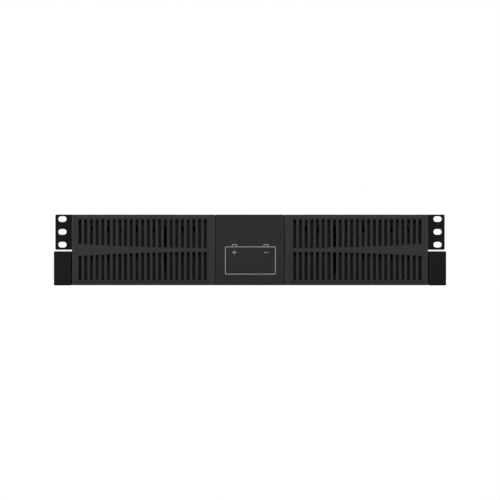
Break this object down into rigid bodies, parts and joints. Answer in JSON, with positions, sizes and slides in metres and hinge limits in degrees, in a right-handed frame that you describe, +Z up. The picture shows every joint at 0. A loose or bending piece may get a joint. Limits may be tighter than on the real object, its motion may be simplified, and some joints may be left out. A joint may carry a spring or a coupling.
{
  "type": "rack ups battery pack",
  "caption": "Two-unit rack battery pack with slotted bezel grilles, a blank centre panel, slotted rack ears, finger pulls and rear direct-current sockets.",
  "frame": {"origin": "middle of the whole pack's bottom, half way between its front and its rear", "axes": "+X right seen from the front, +Y from the bezel to the rear wall, +Z up"},
  "size_m": [0.4826, 0.46, 0.0876],
  "materials": {
    "bezel_plastic": "fine spark texture, satin black",
    "centre_plastic": "finer spark texture, black",
    "handle_plastic": "satin black moulding",
    "ear_paint": "black powder coat",
    "chassis_paint": "black powder coat",
    "zinc_steel": "zinc plated sheet",
    "black_screw": "black oxide",
    "bright_screw": "zinc plated",
    "battery_case": "moulded case",
    "tinned_tab": "tinned brass",
    "receptacle_vinyl": "vinyl sleeve",
    "red_lead": "insulated lead",
    "black_lead": "insulated lead",
    "foam": "closed cell foam",
    "connector_plastic": "grey moulding",
    "holder_plastic": "black moulding",
    "fuse_body": "ceramic tube",
    "socket_plastic": "black moulding",
    "copper_contact": "copper alloy"
  },
  "bodies": {
    "root": {"grille_left": "bezel_plastic", "grille_right": "bezel_plastic", "centre_panel": "centre_plastic", "pull_handle_left": "handle_plastic", "pull_handle_right": "handle_plastic", "rack_ear_left": "ear_paint", "rack_ear_right": "ear_paint", "base_pan": "chassis_paint", "cover": "chassis_paint", "front_plate": "chassis_paint", "centre_partition": "zinc_steel", "battery_tray_left": "zinc_steel", "battery_tray_right": "zinc_steel", "ear_screws": "black_screw", "cover_screws": "black_screw", "base_screws": "black_screw", "handle_screws": "bright_screw", "socket_screws": "bright_screw", "earth_stud": "bright_screw", "earth_nut": "bright_screw", "earth_washer": "bright_screw", "battery_1": "battery_case", "battery_2": "battery_case", "battery_3": "battery_case", "battery_4": "battery_case", "battery_5": "battery_case", "battery_6": "battery_case", "battery_7": "battery_case", "battery_8": "battery_case", "battery_tabs_left": "tinned_tab", "battery_tabs_right": "tinned_tab", "receptacles_left": "receptacle_vinyl", "receptacles_right": "receptacle_vinyl", "positive_lead": "red_lead", "series_lead_left": "red_lead", "series_lead_right": "red_lead", "battery_links_left": "red_lead", "battery_links_right": "red_lead", "negative_lead": "black_lead", "tray_leads_left": "black_lead", "tray_leads_right": "black_lead", "socket_links": "black_lead", "foam_pads_left": "foam", "foam_pads_right": "foam", "tray_connector_left": "connector_plastic", "tray_connector_right": "connector_plastic", "harness_connector_left": "connector_plastic", "harness_connector_right": "connector_plastic", "fuse_holder": "holder_plastic", "harness_clips": "holder_plastic", "fuse": "fuse_body", "rear_socket_lower": "socket_plastic", "rear_socket_upper": "socket_plastic", "socket_contacts": "copper_contact"}
  },
  "joints": []
}
